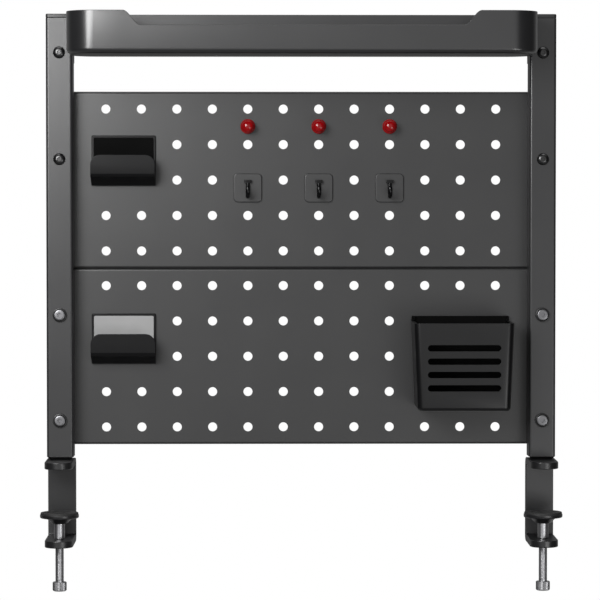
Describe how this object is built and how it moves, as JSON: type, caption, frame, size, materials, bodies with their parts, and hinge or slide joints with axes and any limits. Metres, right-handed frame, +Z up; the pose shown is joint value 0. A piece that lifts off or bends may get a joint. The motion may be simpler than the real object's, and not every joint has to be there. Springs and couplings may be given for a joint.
{
  "type": "clamp-on pegboard tool wall",
  "caption": "Desk-edge pegboard wall: square tubes on screw clamps carry perforated steel panels and a pen tray, with push-in phone holders, hooks, magnetic pins and a slotted pen box.",
  "frame": {"origin": "midway between the clamps, where the desk's top surface meets its back edge: z=0 is the underside of the clamps' upper arms and y=0 the front face of the clamps' upright plates", "axes": "+Z up along the uprights, +X to the right as seen from the front, and the front with the tray and accessories faces -Y"},
  "size_m": [0.3712, 0.091, 0.4095],
  "materials": {
    "powder_coated_tube": "satin powder coat, near-black grey",
    "powder_coated_sheet": "satin powder coat, near-black grey",
    "powder_coated_tray": "satin powder coat, near-black grey",
    "powder_coated_clamp": "satin powder coat, black",
    "black_nylon": "moulded nylon",
    "black_screw_steel": "black oxide, glossy",
    "zinc_screw_steel": "zinc plated",
    "black_rubber": "matte",
    "black_holder_steel": "satin powder coat, black",
    "black_facing": "matte foam rubber",
    "grey_facing": "light grey foam rubber",
    "nickel_magnet": "nickel plated",
    "red_gloss_plastic": "glossy moulded plastic",
    "black_hook_wire": "glossy black",
    "black_box_plastic": "semi-gloss moulded plastic"
  },
  "bodies": {
    "wall": {"left_upright": "powder_coated_tube", "right_upright": "powder_coated_tube", "left_top_cap": "black_nylon", "right_top_cap": "black_nylon", "left_foot_plug": "black_nylon", "right_foot_plug": "black_nylon", "upper_panel": "powder_coated_sheet", "lower_panel": "powder_coated_sheet", "seam_bolts": "black_screw_steel", "pen_tray": "powder_coated_tray", "tray_crossbar": "powder_coated_tray", "tray_screws": "black_screw_steel", "black_frame_screws": "black_screw_steel", "silver_frame_screws": "zinc_screw_steel", "cup_washers": "black_nylon", "frame_nuts": "zinc_screw_steel", "left_clamp_bracket": "powder_coated_clamp", "right_clamp_bracket": "powder_coated_clamp", "clamp_mount_bolts": "zinc_screw_steel"},
    "left_pad": {"left_clamp_pad": "powder_coated_clamp", "left_pad_facing": "black_rubber"},
    "left_screw": {"left_clamp_screw": "zinc_screw_steel", "left_screw_sleeve": "zinc_screw_steel"},
    "right_pad": {"right_clamp_pad": "powder_coated_clamp", "right_pad_facing": "black_rubber"},
    "right_screw": {"right_clamp_screw": "zinc_screw_steel", "right_screw_sleeve": "zinc_screw_steel"},
    "upper_holder": {"upper_phone_holder": "black_holder_steel", "upper_holder_facing": "black_facing", "upper_holder_pegs": "black_nylon"},
    "lower_holder": {"lower_phone_holder": "black_holder_steel", "lower_holder_facing": "grey_facing", "lower_holder_pegs": "black_nylon"},
    "left_push_pin": {"left_pin": "red_gloss_plastic", "left_pin_magnet": "nickel_magnet"},
    "left_peg_hook": {"left_hook_plate": "powder_coated_sheet", "left_hook": "black_hook_wire"},
    "middle_push_pin": {"middle_pin": "red_gloss_plastic", "middle_pin_magnet": "nickel_magnet"},
    "middle_peg_hook": {"middle_hook_plate": "powder_coated_sheet", "middle_hook": "black_hook_wire"},
    "right_push_pin": {"right_pin": "red_gloss_plastic", "right_pin_magnet": "nickel_magnet"},
    "right_peg_hook": {"right_hook_plate": "powder_coated_sheet", "right_hook": "black_hook_wire"},
    "box": {"pen_box": "black_box_plastic", "pen_box_pegs": "black_nylon"}
  },
  "joints": [
    {"name": "left_pad_lift", "type": "slide", "parent": "wall", "child": "left_pad", "axis": [0, 0, 1], "range_m": [0, 0.0245]},
    {"name": "left_screw_turn", "type": "hinge", "parent": "left_pad", "child": "left_screw", "pos_m": [-0.1718, -0.028, -0.06], "axis": [0, 0, 1], "range_deg": [0, 8825]},
    {"name": "right_pad_lift", "type": "slide", "parent": "wall", "child": "right_pad", "axis": [0, 0, 1], "range_m": [0, 0.0245]},
    {"name": "right_screw_turn", "type": "hinge", "parent": "right_pad", "child": "right_screw", "pos_m": [0.1718, -0.028, -0.06], "axis": [0, 0, 1], "range_deg": [0, 8825]},
    {"name": "upper_holder_pull", "type": "slide", "parent": "wall", "child": "upper_holder", "axis": [0, -1, 0], "range_m": [0, 0.03]},
    {"name": "lower_holder_pull", "type": "slide", "parent": "wall", "child": "lower_holder", "axis": [0, -1, 0], "range_m": [0, 0.03]},
    {"name": "left_pin_pull", "type": "slide", "parent": "wall", "child": "left_push_pin", "axis": [0, -1, 0], "range_m": [0, 0.03]},
    {"name": "middle_pin_pull", "type": "slide", "parent": "wall", "child": "middle_push_pin", "axis": [0, -1, 0], "range_m": [0, 0.03]},
    {"name": "right_pin_pull", "type": "slide", "parent": "wall", "child": "right_push_pin", "axis": [0, -1, 0], "range_m": [0, 0.03]},
    {"name": "left_hook_pull", "type": "slide", "parent": "wall", "child": "left_peg_hook", "axis": [0, -1, 0], "range_m": [0, 0.03]},
    {"name": "middle_hook_pull", "type": "slide", "parent": "wall", "child": "middle_peg_hook", "axis": [0, -1, 0], "range_m": [0, 0.03]},
    {"name": "right_hook_pull", "type": "slide", "parent": "wall", "child": "right_peg_hook", "axis": [0, -1, 0], "range_m": [0, 0.03]},
    {"name": "box_pull", "type": "slide", "parent": "wall", "child": "box", "axis": [0, -1, 0], "range_m": [0, 0.03]}
  ],
  "couplings": [
    {"joint": "left_screw_turn", "follows": "left_pad_lift", "rad_per_m": 6283.2},
    {"joint": "right_screw_turn", "follows": "right_pad_lift", "rad_per_m": 6283.2}
  ]
}
